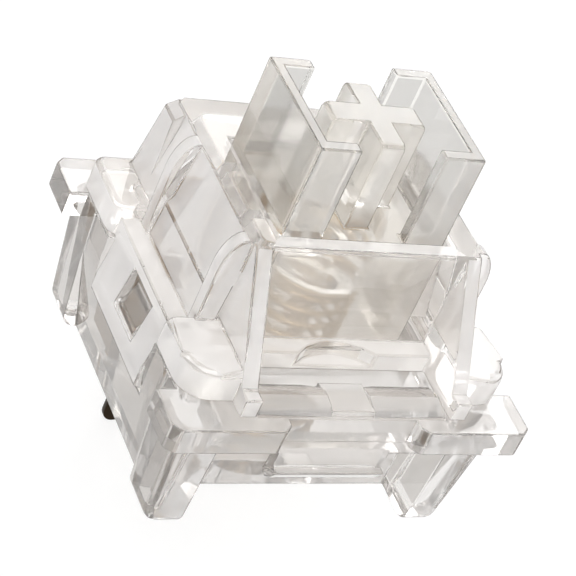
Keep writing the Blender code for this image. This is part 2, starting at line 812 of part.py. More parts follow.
def tower_inside():
    low = rectangle(-INSIDE_FOOT_HALF_X, INSIDE_FOOT_HALF_X, -INSIDE_FRONT, INSIDE_FOOT_BACK)
    high = rectangle(-INSIDE_TOP_HALF_X, INSIDE_TOP_HALF_X, -INSIDE_FRONT, INSIDE_TOP_BACK)
    bm = loft_mesh(low, TOP_BASE - FIT, high, TOP_HEIGHT - TOP_PLATE)
    round_edges(bm, upright_edges(bm), INSIDE_CORNER, 2)
    return object_from("tower_inside", bm)


def stem_opening():
    half_x = STEM_HALF_X + RUNNING
    half_y = STEM_HALF_Y + RUNNING
    return block(
        "stem_opening",
        -half_x,
        half_x,
        -half_y,
        half_y,
        TOP_HEIGHT - TOP_PLATE - OVERLAP,
        TOP_HEIGHT + BEYOND,
    )


def front_recess():
    """The open space between the webs, down to the step and the flange."""
    high = TOP_HEIGHT + BEYOND
    outline = [
        (-TOWER_TOP_FRONT, high),
        (-TOWER_TOP_FRONT, STEP_HEIGHT),
        (-STEP_FRONT, STEP_HEIGHT),
        (-STEP_FRONT, TOP_BASE - BEYOND),
        (-FRONT_FOOT - BEYOND, TOP_BASE - BEYOND),
        (-FRONT_FOOT - BEYOND, high),
    ]
    return bar_along_x("front_recess", outline, -WEB_INSIDE, WEB_INSIDE)


def step_notch():
    """A round bite out of the front edge of the step."""
    half = 0.5 * STEP_NOTCH_CHORD
    radius = (half * half + STEP_NOTCH_DEPTH**2) / (2 * STEP_NOTCH_DEPTH)
    centre_y = -STEP_FRONT - radius + STEP_NOTCH_DEPTH
    low = TOP_BASE + STEP_NOTCH_FLOOR
    outline = arc(0.0, centre_y, radius, 0, 345, 23)
    return prism("step_notch", outline, low, STEP_HEIGHT + BEYOND)


def guide(side, side_y):
    """One of the two ribs inside a side wall that hold the stem's rail between them."""
    start = RAIL_HALF + RUNNING
    inner = STEM_HALF_X + RUNNING + FIT
    outline = [
        (side * inner, GUIDE_BOTTOM),
        (side * (INSIDE_FOOT_HALF_X + FIT), GUIDE_BOTTOM),
        (side * (INSIDE_TOP_HALF_X + OVERLAP), TOP_HEIGHT - 0.5 * TOP_PLATE),
        (side * inner, TOP_HEIGHT - 0.5 * TOP_PLATE),
    ]
    ends = sorted((side_y * start, side_y * (start + GUIDE_WIDTH)))
    return bar_along_y("guide", outline, *ends)


def make_top_housing(clear):
    body = tower()
    fuse(body, skirt())
    for side in (-1, 1):
        fuse(body, front_ear(side))
        fuse(body, back_ear(side))
        fuse(body, corner_rib(side, FRONT_RIB))
        fuse(body, corner_rib(side, BACK_RIB))
        fuse(body, back_pillar(side))
        fuse(body, side_panel_bulge(side))
        fuse(body, snap_loop(side))
        cut(body, loop_window(side))
    cut(body, tower_inside())
    cut(body, front_recess())
    cut(body, step_notch())
    for side in (-1, 1):
        for side_y in (-1, 1):
            fuse(body, guide(side, side_y))
    cut(body, stem_opening())
    body.data.materials.append(clear)
    return body


# Stem


def shroud_wall(side):
    """One C-shaped wall that stands on the deck."""
    inside_x = STEM_HALF_X - SHROUD_WALL_X
    inside_y = STEM_HALF_Y - SHROUD_WALL_Y
    outline = [
        (SHROUD_GAP_HALF, -STEM_HALF_Y),
        (STEM_HALF_X, -STEM_HALF_Y),
        (STEM_HALF_X, STEM_HALF_Y),
        (SHROUD_GAP_HALF, STEM_HALF_Y),
        (SHROUD_GAP_HALF, inside_y),
        (inside_x, inside_y),
        (inside_x, -inside_y),
        (SHROUD_GAP_HALF, -inside_y),
    ]
    outline = [(side * x, y) for x, y in outline]
    return prism("shroud_wall", outline, DECK_HEIGHT - OVERLAP, STEM_TOP)


def cross():
    """The cross that carries the keycap, with chamfered ends."""
    tx = 0.5 * CROSS_X_THICKNESS
    ty = 0.5 * CROSS_Y_THICKNESS
    corner = [(CROSS_X_ARM, tx), (ty, tx), (ty, CROSS_Y_ARM)]
    outline = mirrored_outline(corner)
    bm = loft_mesh(outline, DECK_HEIGHT - OVERLAP, outline, CROSS_TOP)
    near = 0.001 * MM
    ends = [
        e
        for e in edges_at(bm, CROSS_TOP)
        if all(abs(abs(v.co.x) - CROSS_X_ARM) < near for v in e.verts)
        or all(abs(abs(v.co.y) - CROSS_Y_ARM) < near for v in e.verts)
    ]
    round_edges(bm, ends, CROSS_CHAMFER, 2)
    return object_from("cross", bm)


def slider_pocket():
    half_x = STEM_HALF_X - SLIDER_WALL
    half_y = STEM_HALF_Y - SLIDER_WALL
    top = DECK_HEIGHT - DECK_THICKNESS
    return block(
        "slider_pocket", -half_x, half_x, -half_y, half_y, SLIDER_BOTTOM - BEYOND, top
    )


def stem_pole():
    """The collar that the spring pushes on, its boss and the pole below."""
    top = DECK_HEIGHT - DECK_THICKNESS + OVERLAP
    boss = SPRING_RADIUS - 0.5 * WIRE - RUNNING
    profile = [
        (0.0, top),
        (COLLAR_RADIUS, top),
        (COLLAR_RADIUS, SPRING_SEAT),
        (boss, SPRING_SEAT),
        (boss, SPRING_SEAT - SEAT_BOSS_LENGTH),
        (POLE_RADIUS, SPRING_SEAT - SEAT_BOSS_LENGTH),
        (POLE_RADIUS, POLE_TIP + POLE_CHAMFER),
        (POLE_RADIUS - POLE_CHAMFER, POLE_TIP),
        (0.0, POLE_TIP),
    ]
    return turned("stem_pole", profile, 24)


def stem_rail(side):
    """The rail that slides between the guides and stops under the top plate."""
    inside = side * (STEM_HALF_X - OVERLAP)
    outside = side * RAIL_REACH
    top = TOP_HEIGHT - TOP_PLATE - 2 * FIT
    return block(
        "stem_rail",
        min(inside, outside),
        max(inside, outside),
        -RAIL_HALF,
        RAIL_HALF,
        SLIDER_BOTTOM,
        top,
    )


def stem_leg(side):
    """A leg at the back with a ramp, which works the moving contact."""
    low = FLOOR + TRAVEL + RUNNING
    inside = STEM_HALF_Y - OVERLAP
    outline = [
        (inside, low),
        (STEM_HALF_Y + STEM_LEG_TOE, low),
        (STEM_LEG_REACH, low + STEM_LEG_RAMP),
        (STEM_LEG_REACH, STEM_LEG_TOP - STEM_LEG_SHOULDER),
        (inside, STEM_LEG_TOP),
    ]
    start = side * STEM_LEG_INNER
    end = side * (STEM_LEG_INNER + STEM_LEG_WIDTH)
    return bar_along_x("stem_leg", outline, min(start, end), max(start, end))


def make_stem(clear):
    body = block(
        "stem",
        -STEM_HALF_X,
        STEM_HALF_X,
        -STEM_HALF_Y,
        STEM_HALF_Y,
        SLIDER_BOTTOM,
        DECK_HEIGHT,
    )
    cut(body, slider_pocket())
    fuse(body, stem_pole())
    for side in (-1, 1):
        fuse(body, shroud_wall(side))
        fuse(body, stem_rail(side))
        fuse(body, stem_leg(side))
    fuse(body, cross())
    body.data.materials.append(clear)
    return body


# Return spring


def coil_height(turn, low, high):
    """The height of the wire at a turn. The turns at both ends lie almost closed."""
    closed = 1.15 * WIRE
    open_turns = SPRING_TURNS - 2 * END_TURNS
    pitch = (high - low - 2 * END_TURNS * closed) / open_turns
    first = min(turn, END_TURNS)
    last = max(turn - (SPRING_TURNS - END_TURNS), 0.0)
    middle = turn - first - last
    return low + (first + last) * closed + middle * pitch


def make_return_spring(steel):
    low = FLOOR + FIT + 0.5 * WIRE
    high = SPRING_SEAT - FIT - 0.5 * WIRE
    curve = bpy.data.curves.new("return_spring", "CURVE")
    curve.dimensions = "3D"
    curve.bevel_depth = 0.5 * WIRE
    curve.bevel_resolution = 1
    curve.use_fill_caps = True
    line = curve.splines.new("POLY")
    count = SPRING_TURNS * STEPS_PER_TURN + 1
    line.points.add(count - 1)
    for i in range(count):
        turn = i / STEPS_PER_TURN
        angle = 2 * math.pi * turn
        x = SPRING_RADIUS * math.cos(angle)
        y = SPRING_RADIUS * math.sin(angle)
        line.points[i].co = (x, y, coil_height(turn, low, high), 1.0)
    curve.materials.append(steel)
    return add_object("return_spring", curve)


# Contacts


def contact_pin(name, pin, top):
    """A flat pin with a round tip."""
    x, y = pin
    radius = 0.5 * PIN_WIDTH
    outline = [(x + radius, top), (x - radius, top)]
    outline += arc(x, radius - PIN_LENGTH, radius, 180, 360, 10)
    half = 0.5 * PIN_THICKNESS
    return bar_along_y(name, outline, y - half, y + half)


def leaf_nose(side):
    """The raised cam on the leaf that a leg of the stem rides on."""
    face = LEAF_Y - 0.5 * LEAF_THICKNESS
    front = STEM_LEG_REACH + RUNNING
    outline = [
        (face + 0.5 * LEAF_THICKNESS, NOSE_HEIGHT - NOSE_HALF),
        (front, NOSE_HEIGHT - 0.2 * NOSE_HALF),
        (front, NOSE_HEIGHT + 0.2 * NOSE_HALF),
        (face + 0.5 * LEAF_THICKNESS, NOSE_HEIGHT + NOSE_HALF),
    ]
    start = side * (STEM_LEG_INNER + FIT)
    end = side * (STEM_LEG_INNER + STEM_LEG_WIDTH - FIT)
    return bar_along_x("leaf_nose", outline, min(start, end), max(start, end))


def make_moving_contact(bronze):
    """One bent sheet: the pin, a side plate and the springy leaf behind the stem."""
    left = MOVING_PIN[0] - 0.5 * PIN_WIDTH - FIT
    half = 0.5 * LEAF_THICKNESS
    body = block(
        "moving_contact",
        left - half,
        left + half,
        LEAF_SIDE_FRONT,
        LEAF_Y + half,
        CONTACT_BOTTOM,
        LEAF_SIDE_TOP,
    )
    fuse(body, contact_pin("moving_pin", MOVING_PIN, CONTACT_BOTTOM + PIN_ROOT))
    leaf = block(
        "leaf", left - 0.5 * half, LEAF_RIGHT, LEAF_Y - half, LEAF_Y + half, LEAF_BOTTOM, LEAF_TOP
    )
    fuse(body, leaf)
    slot = block(
        "leaf_slot",
        -STEM_LEG_INNER + FIT,
        STEM_LEG_INNER - FIT,
        LEAF_Y - BEYOND,
        LEAF_Y + BEYOND,
        LEAF_SLOT_BOTTOM,
        LEAF_SLOT_TOP,
    )
    cut(body, slot)
    for side in (-1, 1):
        fuse(body, leaf_nose(side))
    body.data.materials.append(bronze)
    return body


def make_fixed_contact(bronze):
    """A flat plate at the back with its pin."""
    half = 0.5 * FIXED_THICKNESS
    x, y = FIXED_PIN
    outline = [
        (FIXED_LEFT, CONTACT_BOTTOM + FIXED_CORNER),
        (FIXED_LEFT + FIXED_CORNER, CONTACT_BOTTOM),
        (FIXED_RIGHT, CONTACT_BOTTOM),
        (FIXED_RIGHT, FIXED_TOP - FIXED_CORNER),
        (FIXED_RIGHT - FIXED_CORNER, FIXED_TOP),
        (FIXED_LEFT, FIXED_TOP),
    ]
    body = bar_along_y("fixed_contact", outline, y - half, y + half)
    fuse(body, contact_pin("fixed_pin", FIXED_PIN, CONTACT_BOTTOM + PIN_ROOT))
    body.data.materials.append(bronze)
    return body


def make_contact_point(name, start_y, end_y, gold):
    """A short round stud that is welded on a contact and faces the other one."""
    bm = bmesh.new()
    rings = []
    for y, radius in ((start_y, POINT_RADIUS), (end_y, 0.8 * POINT_RADIUS)):
        outline = arc(POINT_X, POINT_Z, radius, 0, 345, 23)
        rings.append([bm.verts.new((x, y, z)) for x, z in outline])
        bm.faces.new(rings[-1])
    count = len(rings[0])
    for i in range(count):
        j = (i + 1) % count
        bm.faces.new((rings[0][i], rings[0][j], rings[1][j], rings[1][i]))
    point = object_from(name, bm)
    point.data.materials.append(gold)
    return point


def smooth_round_pieces():
    for obj in bpy.data.objects:
        if obj.type == "MESH" and not obj.hide_render:
            obj.data.shade_smooth()
            obj.data.set_sharp_from_angle(angle=math.radians(28))


def main():
    clear_scene()
    clear_body = material("clear_housing", (0.82, 0.8, 0.78), 0.06, alpha=0.35)
    clear_stem = material("clear_stem", (0.86, 0.82, 0.76), 0.1, alpha=0.4)
    steel = material("spring_steel", (0.55, 0.54, 0.56), 0.25, metallic=1.0)
    bronze = material("phosphor_bronze", (0.5, 0.33, 0.17), 0.3, metallic=1.0)
    gold = material("gold_alloy", (0.83, 0.62, 0.3), 0.2, metallic=1.0)

    board = bpy.data.objects.new("board_plane", None)
    board.location = (0, 0, PIN_LENGTH)
    axis = bpy.data.objects.new("stem_axis", None)
    for empty in (board, axis):
        bpy.context.scene.collection.objects.link(empty)
    axis.parent = board

    leaf_back = LEAF_Y + 0.5 * LEAF_THICKNESS + WELD_GAP
    plate_front = FIXED_PIN[1] - 0.5 * FIXED_THICKNESS - WELD_GAP
    fixed_pieces = [
        make_bottom_housing(clear_body),
        make_top_housing(clear_body),
        make_return_spring(steel),
        make_moving_contact(bronze),
        make_fixed_contact(bronze),
        make_contact_point("moving_contact_point", leaf_back, leaf_back + POINT_LENGTH, gold),
        make_contact_point("fixed_contact_point", plate_front, plate_front - POINT_LENGTH, gold),
    ]
    for piece in fixed_pieces:
        piece.parent = board
    make_stem(clear_stem).parent = axis
    smooth_round_pieces()


main()
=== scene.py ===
"""The looks of a clear keyboard switch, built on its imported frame: see-through mouldings with
rounded edges, a wound spring, stamped bronze contacts, and a plain pale studio."""

import math

import bmesh
import bpy
from mathutils import Matrix, Vector
from mathutils.geometry import intersect_point_line


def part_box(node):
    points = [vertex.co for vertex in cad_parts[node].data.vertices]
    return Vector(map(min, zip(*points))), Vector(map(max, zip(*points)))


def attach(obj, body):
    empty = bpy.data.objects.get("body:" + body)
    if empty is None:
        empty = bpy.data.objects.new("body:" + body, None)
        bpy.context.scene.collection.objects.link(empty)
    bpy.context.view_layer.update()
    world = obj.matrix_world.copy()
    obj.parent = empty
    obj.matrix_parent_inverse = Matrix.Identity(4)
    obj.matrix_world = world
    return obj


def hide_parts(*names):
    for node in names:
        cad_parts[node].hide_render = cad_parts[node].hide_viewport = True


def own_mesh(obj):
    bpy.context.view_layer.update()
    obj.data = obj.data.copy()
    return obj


bl_info = {
    "name": "Clear keyboard switch",
    "version": (1, 0, 0),
    "blender": (4, 5, 0),
    "location": "View3D > Sidebar > Switch",
    "description": "Dresses the clear keyboard switch and sets its studio",
    "category": "Add Mesh",
}

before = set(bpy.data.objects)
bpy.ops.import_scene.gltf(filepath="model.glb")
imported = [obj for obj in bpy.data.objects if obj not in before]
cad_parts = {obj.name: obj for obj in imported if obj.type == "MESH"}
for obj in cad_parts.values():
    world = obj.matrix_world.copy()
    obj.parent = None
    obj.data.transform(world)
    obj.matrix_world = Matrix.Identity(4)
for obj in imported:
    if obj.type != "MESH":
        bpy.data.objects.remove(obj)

MM = 0.001
BOARD = 3.3 * MM

SPRING_LOW, SPRING_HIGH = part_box("return_spring")


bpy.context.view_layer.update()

# Joining the loose triangles of a node into whole faces
SAME_PLACE = 0.002 * MM
SAME_PLANE = math.radians(1.5)

# Rounding the edges that turn by more than an angle. A rounding takes up to a share of the room
# beside it, which is measured a little past the edge's ends. Long edges are cut, so that only a
# short piece gives up a rounding that would fold.
ROUNDED_FROM = math.radians(25.0)
ROOM_SHARE = 0.45
LONG_EDGE = 1.2 * MM
CUTS_IN_LONG_EDGE = 4
ROUNDING_SEGMENTS = 2
PAST_THE_END = 0.02
SMOOTH_BELOW = math.radians(30.0)

# Where a rounding folds over, the edges within reach give up half of it, or all of a small one. The
# reach counts in widths of the rounding.
PASSES = 9
SMALLEST_SHARE = 0.2
BACK_TO_BACK = -0.95
REACH_OF_WHOLE = 1.5
REACH_AT_LEAST = 0.4

# Places of the finishes on the mouldings
SLIDER_TOP = BOARD + 11.2 * MM
WINDOW_HALF = 4.3 * MM
WINDOW_FRONT = -4.0 * MM
WINDOW_BACK = -2.6 * MM
SIDEWAYS = 0.7
MILKY, EDGES, POLISHED, EXTRA = range(4)

# The pins are painted black below the board's top, a painted dark reflection. The fade is a share
# of the ramp's height.
PIN_RAMP = 20 * MM
PIN_FADE = 0.02
PIN_DARK_REFLECTION = (0.06, 0.05, 0.04)

# The spring's drawing
SPRING_SAMPLES = 560
WIRE_SIDES = 14
END_TURNS = 1.25
CLOSED_PITCH = 1.15

# Share of a lamp's light that one clear wall lets through
THROUGH = (0.95, 0.945, 0.935)

# The smokier tone of a polished place, as a share of its tint
POLISHED_DEEP = 0.94

# Tones of painted shade that the broad faces and the rounded edges take as they turn away from the
# eye
FACE_PAINTED_SHADE = [
    (0.0, (1.0, 1.0, 1.0)),
    (0.6, (1.0, 1.0, 1.0)),
    (0.85, (0.80, 0.79, 0.78)),
    (1.0, (0.55, 0.54, 0.53)),
]
EDGE_PAINTED_SHADE = [
    (0.0, (1.0, 1.0, 1.0)),
    (0.38, (1.0, 1.0, 1.0)),
    (0.52, (0.36, 0.34, 0.32)),
    (0.7, (0.08, 0.075, 0.07)),
]

# Greys of the tent that plastic and metal reflect, from the floor's height up to the ceiling
TENT_TONES = [
    (0.50, (1.0, 1.0, 1.0)),
    (0.58, (0.95, 0.94, 0.93)),
    (0.70, (0.52, 0.49, 0.47)),
    (0.82, (0.50, 0.47, 0.45)),
    (0.90, (0.9, 0.89, 0.88)),
    (1.00, (1.0, 1.0, 1.0)),
]

# Plain light of the studio, the floor's own glow, and the two soft lamps
STUDIO_LIGHT = (0.95, 0.95, 0.96, 1.0)
STUDIO_STRENGTH = 0.75
GLOW_STRENGTH = 1.12
GLOW_SHARE = 0.7
LAMP_AIM = (0.0, 0.0, 9 * MM)
KEY_PLACE = (-0.08, -0.13, 0.22)
KEY_SIDE = 0.12
KEY_COLOUR = (1.0, 0.98, 0.95)
BACK_PLACE = (0.14, 0.18, 0.16)
BACK_SIDE = 0.10
BACK_COLOUR = (1.0, 1.0, 1.0)
BACK_SHARE = 0.5

# The camera, solved from the sizes of the switch
CAMERA_PLACE = (-47.141 * MM, -63.548 * MM, 64.583 * MM)
CAMERA_FORWARD = (0.48803, 0.66091, -0.57010)
CAMERA_UP = (-0.03826, 0.66874, 0.74251)

# How often light bends or bounces, and how many walls a shadow ray passes, before it is given up
LIGHT_BOUNCES = 96
CLEAR_BOUNCES = 40


# Helpers for node trees


def link(tree, out_socket, in_socket):
    tree.links.new(out_socket, in_socket)


def math_node(tree, operation, first, second=None, clamp=False):
    """A Math node fed by sockets or plain numbers. Returns its output."""
    node = tree.nodes.new("ShaderNodeMath")
    node.operation = operation
    node.use_clamp = clamp
    for socket, value in zip(node.inputs, (first, second)):
        if value is None:
            continue
        if isinstance(value, (int, float)):
            socket.default_value = value
        else:
            link(tree, value, socket)
    return node.outputs[0]


def ramp(tree, factor, stops):
    """A colour ramp with stops of (place, colour)."""
    node = tree.nodes.new("ShaderNodeValToRGB")
    band = node.color_ramp
    while len(band.elements) < len(stops):
        band.elements.new(0.5)
    for element, (place, colour) in zip(band.elements, stops):
        element.position = place
        element.color = (*colour, 1.0)
    link(tree, factor, node.inputs["Fac"])
    return node.outputs["Color"]


def noise(tree, vector, scale, detail, roughness=0.5):
    node = tree.nodes.new("ShaderNodeTexNoise")
    node.inputs["Scale"].default_value = scale
    node.inputs["Detail"].default_value = detail
    node.inputs["Roughness"].default_value = roughness
    link(tree, vector, node.inputs["Vector"])
    return node.outputs["Fac"]


def new_group(name, inputs, outputs):
    """An empty shader group with named sockets of (kind, name, default)."""
    group = bpy.data.node_groups.new(name, "ShaderNodeTree")
    for kind, label, default in inputs:
        socket = group.interface.new_socket(label, in_out="INPUT", socket_type=kind)
        socket.default_value = default
    for kind, label in outputs:
        group.interface.new_socket(label, in_out="OUTPUT", socket_type=kind)
    entry = group.nodes.new("NodeGroupInput")
    leave = group.nodes.new("NodeGroupOutput")
    return group, entry, leave


def moulded_group():
    """Flow ripples, faint haze and a slow drift of tint, as on moulded clear plastic."""
    name = "moulded_plastic"
    if name in bpy.data.node_groups:
        return bpy.data.node_groups[name]
    group, entry, leave = new_group(
        name,
        [
            ("NodeSocketColor", "Light Tint", (1, 1, 1, 1)),
            ("NodeSocketColor", "Deep Tint", (0.8, 0.8, 0.8, 1)),
            ("NodeSocketFloat", "Base Roughness", 0.02),
            ("NodeSocketFloat", "Haze", 0.03),
        ],
        [
            ("NodeSocketColor", "Color"),
            ("NodeSocketFloat", "Roughness"),
            ("NodeSocketFloat", "Height"),
        ],
    )
    place = group.nodes.new("ShaderNodeTexCoord").outputs["Object"]
    drift = noise(group, place, scale=260.0, detail=2.0)
    mix = group.nodes.new("ShaderNodeMix")
    mix.data_type = "RGBA"
    sharpened = group.nodes.new("ShaderNodeMapRange")
    sharpened.inputs["From Min"].default_value = 0.35
    sharpened.inputs["From Max"].default_value = 0.65
    link(group, drift, sharpened.inputs["Value"])
    link(group, sharpened.outputs["Result"], mix.inputs["Factor"])
    link(group, entry.outputs["Light Tint"], mix.inputs["A"])
    link(group, entry.outputs["Deep Tint"], mix.inputs["B"])
    link(group, mix.outputs["Result"], leave.inputs["Color"])
    haze = noise(group, place, scale=900.0, detail=4.0, roughness=0.6)
    hazed = math_node(group, "MULTIPLY", haze, entry.outputs["Haze"])
    roughness = math_node(group, "ADD", hazed, entry.outputs["Base Roughness"])
    link(group, roughness, leave.inputs["Roughness"])
    ripple = noise(group, place, scale=420.0, detail=2.0)
    fine = math_node(group, "MULTIPLY", noise(group, place, scale=2600.0, detail=3.0), 0.12)
    link(group, math_node(group, "ADD", ripple, fine), leave.inputs["Height"])
    return group


def metal_group():
    """Rolling grain, dark oxide blotches and uneven polish, as on stamped or drawn metal."""
    name = "worked_metal"
    if name in bpy.data.node_groups:
        return bpy.data.node_groups[name]
    group, entry, leave = new_group(
        name,
        [
            ("NodeSocketColor", "Bright", (1, 1, 1, 1)),
            ("NodeSocketColor", "Oxide", (0.1, 0.1, 0.1, 1)),
            ("NodeSocketFloat", "Base Roughness", 0.25),
        ],
        [
            ("NodeSocketColor", "Color"),
            ("NodeSocketFloat", "Roughness"),
            ("NodeSocketFloat", "Height"),
        ],
    )
    place = group.nodes.new("ShaderNodeTexCoord").outputs["Object"]
    stretch = group.nodes.new("ShaderNodeMapping")
    stretch.inputs["Scale"].default_value = (1.0, 1.0, 0.12)
    link(group, place, stretch.inputs["Vector"])
    blotch = noise(group, place, scale=700.0, detail=4.0, roughness=0.6)
    mix = group.nodes.new("ShaderNodeMix")
    mix.data_type = "RGBA"
    link(group, blotch, mix.inputs["Factor"])
    link(group, entry.outputs["Bright"], mix.inputs["A"])
    link(group, entry.outputs["Oxide"], mix.inputs["B"])
    link(group, mix.outputs["Result"], leave.inputs["Color"])
    grain = noise(group, stretch.outputs["Vector"], scale=9000.0, detail=3.0)
    rough = math_node(group, "MULTIPLY", grain, 0.2)
    roughness = math_node(group, "ADD", rough, entry.outputs["Base Roughness"])
    link(group, roughness, leave.inputs["Roughness"])
    link(group, grain, leave.inputs["Height"])
    return group


def multiplied(tree, first, second):
    """Two colours multiplied. Returns the result's socket."""
    node = tree.nodes.new("ShaderNodeMix")
    node.data_type = "RGBA"
    node.blend_type = "MULTIPLY"
    node.inputs["Factor"].default_value = 1.0
    link(tree, first, node.inputs["A"])
    link(tree, second, node.inputs["B"])
    return node.outputs["Result"]


def mixed_shaders(tree, factor, first, second):
    """A Mix Shader of two shaders' output sockets. Returns its output."""
    node = tree.nodes.new("ShaderNodeMixShader")
    link(tree, factor, node.inputs["Fac"])
    link(tree, first, node.inputs[1])
    link(tree, second, node.inputs[2])
    return node.outputs["Shader"]


def placed_group(tree, group, values):
    node = tree.nodes.new("ShaderNodeGroup")
    node.node_tree = group
    for label, value in values.items():
        node.inputs[label].default_value = value
    return node


def bump(tree, height, strength, distance):
    node = tree.nodes.new("ShaderNodeBump")
    node.inputs["Strength"].default_value = strength
    node.inputs["Distance"].default_value = distance
    link(tree, height, node.inputs["Height"])
    return node.outputs["Normal"]


def clear_plastic(name, look, tints, milk, bend, gloss, painted_shade_tones, roughness=0.02):
    """Clear, faintly milky plastic that bends light, with painted shade that darkens it as it turns
    away from the eye. Lamps reach through it, so that it casts a pale shadow."""
    made = bpy.data.materials.new(name)
    made.use_nodes = True
    tree = made.node_tree
    shader = tree.nodes["Principled BSDF"]
    light_tint, deep_tint = tints
    values = {
        "Light Tint": (*light_tint, 1.0),
        "Deep Tint": (*deep_tint, 1.0),
        "Base Roughness": roughness,
        "Haze": look.haze,
    }
    surface = placed_group(tree, moulded_group(), values)
    # Painted shade: the colour darkens as the surface turns away from the eye.
    turned_away = tree.nodes.new("ShaderNodeLayerWeight").outputs["Facing"]
    painted_turn_shade = ramp(tree, turned_away, painted_shade_tones)
    toned = multiplied(tree, surface.outputs["Color"], painted_turn_shade)
    link(tree, toned, shader.inputs["Base Color"])
    link(tree, surface.outputs["Roughness"], shader.inputs["Roughness"])
    bumped = bump(tree, surface.outputs["Height"], strength=0.05, distance=0.01 * MM)
    link(tree, bumped, shader.inputs["Normal"])
    shader.inputs["Transmission Weight"].default_value = 1.0 - milk
    shader.inputs["IOR"].default_value = bend
    shader.inputs["Metallic"].default_value = 0.0
    shader.inputs["Coat Weight"].default_value = gloss
    shader.inputs["Coat Roughness"].default_value = 0.02
    path = tree.nodes.new("ShaderNodeLightPath")
    clear = tree.nodes.new("ShaderNodeBsdfTransparent")
    clear.inputs["Color"].default_value = (*THROUGH, 1.0)
    in_shadow = path.outputs["Is Shadow Ray"]
    both = mixed_shaders(tree, in_shadow, shader.outputs["BSDF"], clear.outputs["BSDF"])
    link(tree, both, tree.nodes["Material Output"].inputs["Surface"])
    return made


def darkened(tints, tone):
    return [[channel * tone for channel in tint] for tint in tints]


def moulding_finishes(name, look, tints, inner_shade_tint, milk, bend):
    """Three finishes of one moulding: milky outer faces, rounded edges and polished inner faces,
    whose darker inner tint is painted shade.
    """
    # Painted shade on the rounded edges: their tints are darkened by the edge tone.
    shaded_edge_tints = darkened(tints, look.line)
    return [
        clear_plastic(name, look, tints, milk, bend, look.gloss, FACE_PAINTED_SHADE),
        clear_plastic(
            name + "_edges", look, shaded_edge_tints, look.line_milk, bend, look.line_gloss, EDGE_PAINTED_SHADE
        ),
        polished_finish(name + "_polished", look, inner_shade_tint, bend),
    ]


def polished_finish(name, look, tint, bend, roughness=0.02):
    tints = [tint, *darkened([tint], POLISHED_DEEP)]
    milk = look.inner_milk
    return clear_plastic(name, look, tints, milk, bend, look.gloss, FACE_PAINTED_SHADE, roughness)


def worked_metal(name, bright, oxide, roughness, reflection_dark_below=0.0):
    """Stamped or drawn metal. Below a height it is blackened with a painted dark reflection."""
    made = bpy.data.materials.new(name)
    made.use_nodes = True
    tree = made.node_tree
    shader = tree.nodes["Principled BSDF"]
    values = {"Bright": (*bright, 1.0), "Oxide": (*oxide, 1.0), "Base Roughness": roughness}
    surface = placed_group(tree, metal_group(), values)
    place = tree.nodes.new("ShaderNodeTexCoord").outputs["Object"]
    split = tree.nodes.new("ShaderNodeSeparateXYZ")
    link(tree, place, split.inputs["Vector"])
    # Painted dark reflection: the metal turns black below the given height.
    share = math_node(tree, "DIVIDE", split.outputs["Z"], PIN_RAMP)
    bright_from = reflection_dark_below / PIN_RAMP
    stops = [(max(0.0, bright_from - PIN_FADE), PIN_DARK_REFLECTION), (bright_from, (1.0, 1.0, 1.0))]
    toned = multiplied(tree, surface.outputs["Color"], ramp(tree, share, stops))
    link(tree, toned, shader.inputs["Base Color"])
    link(tree, surface.outputs["Roughness"], shader.inputs["Roughness"])
    bumped = bump(tree, surface.outputs["Height"], strength=0.15, distance=0.01 * MM)
    link(tree, bumped, shader.inputs["Normal"])
    shader.inputs["Metallic"].default_value = 1.0
    return made


# Helpers for meshes


def merged_copy(node):
    """The node's mesh with its loose triangles joined into whole flat faces."""
    bm = bmesh.new()
    bm.from_mesh(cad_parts[node].data)
    bmesh.ops.remove_doubles(bm, verts=bm.verts, dist=SAME_PLACE)
    bmesh.ops.dissolve_limit(
        bm, angle_limit=SAME_PLANE, verts=bm.verts, edges=bm.edges, delimit={"NORMAL"}
    )
    return bm


def room_beside(edge):
    """How far the nearest corner or side of the edge's two faces lies from the edge."""
    start, end = (vert.co for vert in edge.verts)
    nearest = math.inf
    for face in edge.link_faces:
        for vert in face.verts:
            if vert not in edge.verts:
                foot, share = intersect_point_line(vert.co, start, end)
                if -PAST_THE_END < share < 1.0 + PAST_THE_END:
                    nearest = min(nearest, (vert.co - foot).length)
        for side in face.edges:
            if edge.verts[0] in side.verts or edge.verts[1] in side.verts:
                continue
            for vert in edge.verts:
                foot, share = intersect_point_line(vert.co, side.verts[0].co, side.verts[1].co)
                if 0.0 < share < 1.0:
                    nearest = min(nearest, (vert.co - foot).length)
    return nearest


def rounded_mesh(bm, width, materials, finish):
    """The mesh with its edges rounded by their weights. The rounding takes one of the materials."""
    mesh = bpy.data.meshes.new("sharp")
    bm.to_mesh(mesh)
    for material in materials:
        mesh.materials.append(material)
    maker = bpy.data.objects.new("sharp", mesh)
    bpy.context.scene.collection.objects.link(maker)
    bevel = maker.modifiers.new("soften", "BEVEL")
    bevel.limit_method = "WEIGHT"
    bevel.offset_type = "OFFSET"
    bevel.width = width
    bevel.segments = ROUNDING_SEGMENTS
    bevel.use_clamp_overlap = False
    bevel.loop_slide = False
    bevel.material = finish
    graph = bpy.context.evaluated_depsgraph_get()
    soft = bpy.data.meshes.new_from_object(maker.evaluated_get(graph), depsgraph=graph)
    result = bmesh.new()
    result.from_mesh(soft)
    bpy.data.objects.remove(maker)
    bpy.data.meshes.remove(mesh)
    bpy.data.meshes.remove(soft)
    return result


def folded_places(bm):
    """Where two neighbouring triangles of a rounded mesh lie back to back."""
    loose = bm.copy()
    bmesh.ops.triangulate(loose, faces=loose.faces, ngon_method="EAR_CLIP")
    places = []
    for edge in loose.edges:
        if len(edge.link_faces) == 2:
            first, second = (face.normal for face in edge.link_faces)
            if first.dot(second) < BACK_TO_BACK:
                places += [vert.co.copy() for vert in edge.verts]
    loose.free()
    return places


def distance_to_edge(place, edge):
    start, end = (vert.co for vert in edge.verts)
    share = intersect_point_line(place, start, end)[1]
    return (place - start.lerp(end, min(1.0, max(0.0, share)))).length


